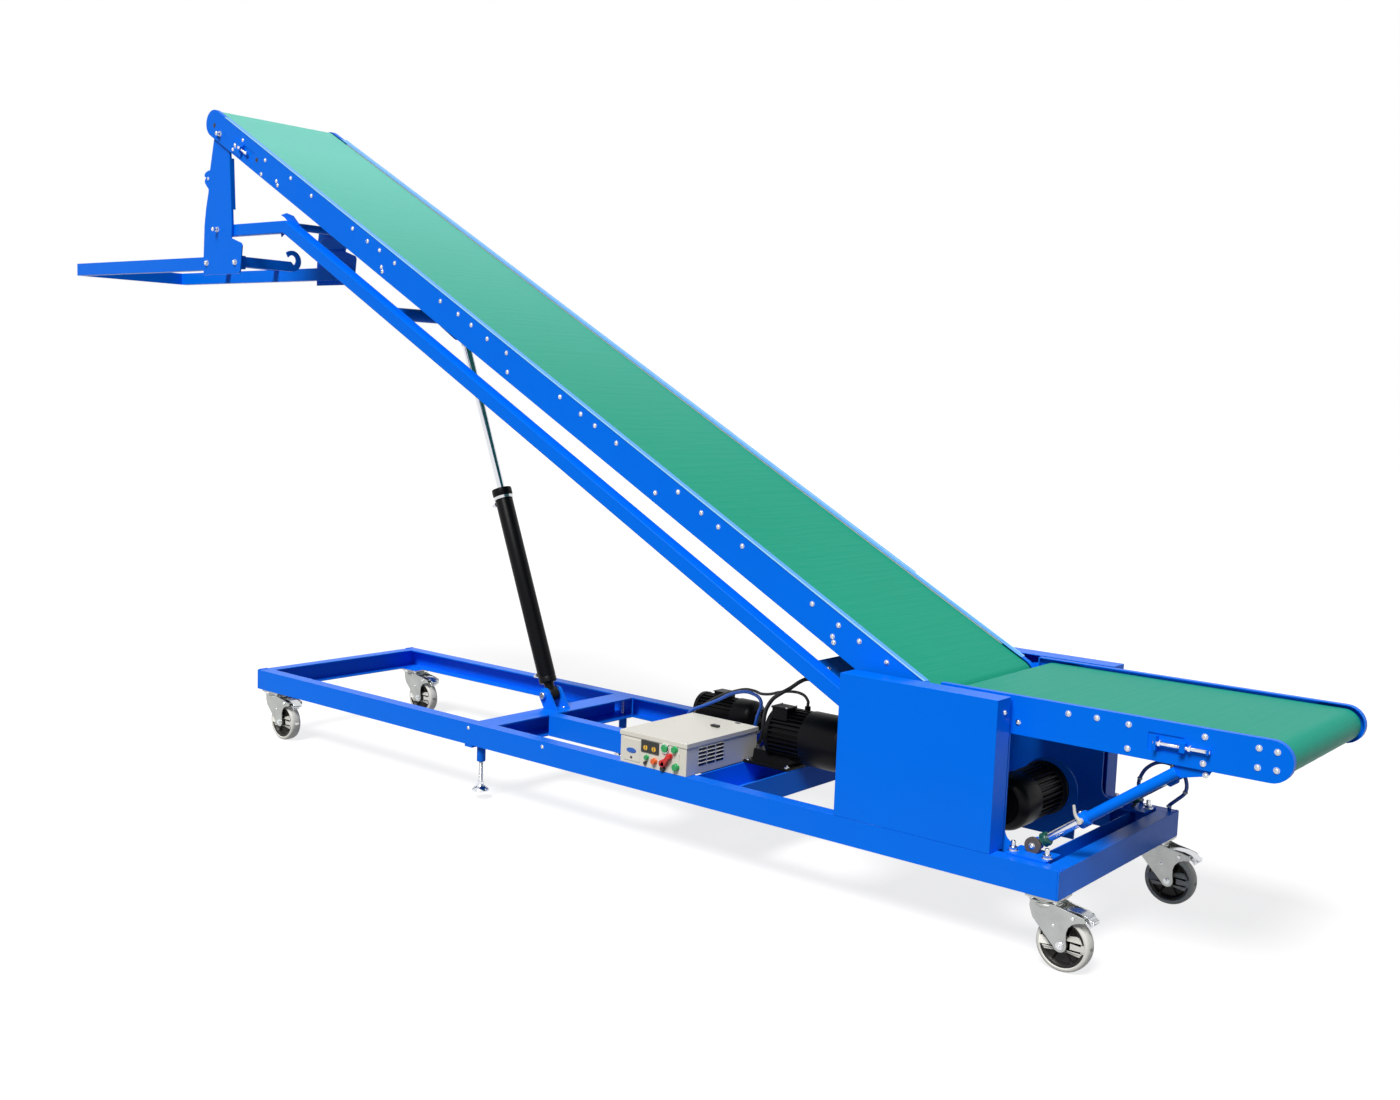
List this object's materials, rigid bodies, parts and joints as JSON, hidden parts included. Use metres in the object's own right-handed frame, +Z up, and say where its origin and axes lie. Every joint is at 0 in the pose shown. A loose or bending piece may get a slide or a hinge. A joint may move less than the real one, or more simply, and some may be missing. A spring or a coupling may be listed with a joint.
{
  "type": "portable belt conveyor",
  "caption": "Wheeled portable conveyor: a level infeed belt feeds a long inclined boom belt that a hydraulic cylinder raises, with a levelled carrier frame at the head.",
  "frame": {"origin": "on the floor, below the middle of the whole machine's length and width", "axes": "+X from the head of the boom towards the infeed end, +Y away from the control box, +Z up"},
  "size_m": [5.838, 0.83, 2.6293],
  "materials": {
    "blue_paint": "gloss",
    "green_belt": "matt, ribbed",
    "bright_steel": "bright",
    "zinc_plate": "zinc plated",
    "pale_tyre": "satin",
    "black_casting": "satin",
    "cream_enamel": "satin",
    "black_cable": "satin",
    "blue_hose": "gloss"
  },
  "bodies": {
    "base": {"rail_near": "blue_paint", "rail_far": "blue_paint", "end_channel_infeed": "blue_paint", "end_channel_head": "blue_paint", "cross_channel_cylinder": "blue_paint", "cross_channel_pump": "blue_paint", "cross_channel_motor": "blue_paint", "cross_channel_tower": "blue_paint", "sub_beam": "blue_paint", "tower_near": "blue_paint", "tower_far": "blue_paint", "cover_near": "blue_paint", "cover_far": "blue_paint", "control_box": "cream_enamel", "boom_drive_motor": "black_casting", "pump_motor": "black_casting", "infeed_drive_motor": "black_casting", "infeed_side_near": "blue_paint", "infeed_side_far": "blue_paint", "infeed_bed": "bright_steel", "infeed_belt": "green_belt", "infeed_inner_pulley": "bright_steel", "infeed_outer_pulley": "bright_steel", "brace_foot_near": "blue_paint", "brace_foot_far": "blue_paint", "brace_rod_near": "bright_steel", "brace_rod_far": "bright_steel", "brace_tube_near": "blue_paint", "brace_tube_far": "blue_paint", "power_cable": "black_cable", "loop_cable": "black_cable", "pump_hose": "blue_hose", "rail_hose": "blue_hose"},
    "boom": {"boom_side_near": "blue_paint", "boom_side_far": "blue_paint", "boom_bed": "bright_steel", "boom_belt": "green_belt", "boom_head_pulley": "bright_steel", "boom_tail_pulley": "bright_steel"},
    "link_frame": {"link_bar_near": "blue_paint", "link_bar_far": "blue_paint", "link_corner_tube": "blue_paint", "link_foot_plate": "blue_paint", "link_cylinder_tube": "blue_paint"},
    "head_carrier": {"head_plate_near": "blue_paint", "head_plate_far": "blue_paint", "tray_frame": "blue_paint"},
    "cylinder_barrel": {"cylinder_barrel": "black_casting"},
    "cylinder_rod": {"cylinder_rod": "bright_steel"},
    "caster_fork_infeed_near": {"caster_fork_infeed_near": "zinc_plate"},
    "caster_wheel_infeed_near": {"caster_wheel_infeed_near": "pale_tyre"},
    "caster_fork_infeed_far": {"caster_fork_infeed_far": "zinc_plate"},
    "caster_wheel_infeed_far": {"caster_wheel_infeed_far": "pale_tyre"},
    "caster_fork_head_near": {"caster_fork_head_near": "zinc_plate"},
    "caster_wheel_head_near": {"caster_wheel_head_near": "pale_tyre"},
    "caster_fork_head_far": {"caster_fork_head_far": "zinc_plate"},
    "caster_wheel_head_far": {"caster_wheel_head_far": "pale_tyre"},
    "levelling_foot_near": {"levelling_foot_near": "bright_steel"},
    "levelling_foot_far": {"levelling_foot_far": "bright_steel"}
  },
  "joints": [
    {"name": "boom_lift", "type": "hinge", "parent": "base", "child": "boom", "pos_m": [1.8724, 0, 0.6417], "axis": [0, 1, 0], "range_deg": [-20, 5]},
    {"name": "link_hinge", "type": "hinge", "parent": "base", "child": "link_frame", "pos_m": [1.8474, 0, 0.2397], "axis": [0, 1, 0], "range_deg": [-20.2, 5.2]},
    {"name": "head_hinge", "type": "hinge", "parent": "boom", "child": "head_carrier", "pos_m": [-1.711, 0, 2.5206], "axis": [0, 1, 0], "range_deg": [-5.2, 20.2]},
    {"name": "cylinder_tilt", "type": "hinge", "parent": "base", "child": "cylinder_barrel", "pos_m": [0.069, 0, 0.33], "axis": [0, 1, 0], "range_deg": [-37, 9.5]},
    {"name": "cylinder_slide", "type": "slide", "parent": "cylinder_barrel", "child": "cylinder_rod", "axis": [-0.3673, 0, 0.9301], "range_m": [-0.47, 0.118]},
    {"name": "swivel_infeed_near", "type": "hinge", "parent": "base", "child": "caster_fork_infeed_near", "pos_m": [2.3285, -0.368, 0.19], "axis": [0, 0, 1], "continuous": true},
    {"name": "wheel_infeed_near", "type": "hinge", "parent": "caster_fork_infeed_near", "child": "caster_wheel_infeed_near", "pos_m": [2.3835, -0.368, 0.0775], "axis": [0, 1, 0], "continuous": true},
    {"name": "swivel_infeed_far", "type": "hinge", "parent": "base", "child": "caster_fork_infeed_far", "pos_m": [2.3285, 0.368, 0.19], "axis": [0, 0, 1], "continuous": true},
    {"name": "wheel_infeed_far", "type": "hinge", "parent": "caster_fork_infeed_far", "child": "caster_wheel_infeed_far", "pos_m": [2.3835, 0.368, 0.0775], "axis": [0, 1, 0], "continuous": true},
    {"name": "swivel_head_near", "type": "hinge", "parent": "base", "child": "caster_fork_head_near", "pos_m": [-1.1685, -0.368, 0.19], "axis": [0, 0, 1], "continuous": true},
    {"name": "wheel_head_near", "type": "hinge", "parent": "caster_fork_head_near", "child": "caster_wheel_head_near", "pos_m": [-1.1135, -0.368, 0.0775], "axis": [0, 1, 0], "continuous": true},
    {"name": "swivel_head_far", "type": "hinge", "parent": "base", "child": "caster_fork_head_far", "pos_m": [-1.1685, 0.368, 0.19], "axis": [0, 0, 1], "continuous": true},
    {"name": "wheel_head_far", "type": "hinge", "parent": "caster_fork_head_far", "child": "caster_wheel_head_far", "pos_m": [-1.1135, 0.368, 0.0775], "axis": [0, 1, 0], "continuous": true},
    {"name": "foot_screw_near", "type": "slide", "parent": "base", "child": "levelling_foot_near", "axis": [0, 0, 1], "range_m": [-0.03, 0]},
    {"name": "foot_screw_far", "type": "slide", "parent": "base", "child": "levelling_foot_far", "axis": [0, 0, 1], "range_m": [-0.03, 0]}
  ],
  "couplings": [
    {"joint": "link_hinge", "follows": "boom_lift", "ratio": 1},
    {"joint": "head_hinge", "follows": "boom_lift", "ratio": -1},
    {"joint": "cylinder_tilt", "follows": "boom_lift", "ratio": 1.825},
    {"joint": "cylinder_slide", "follows": "boom_lift", "m_per_rad": 1.34}
  ]
}
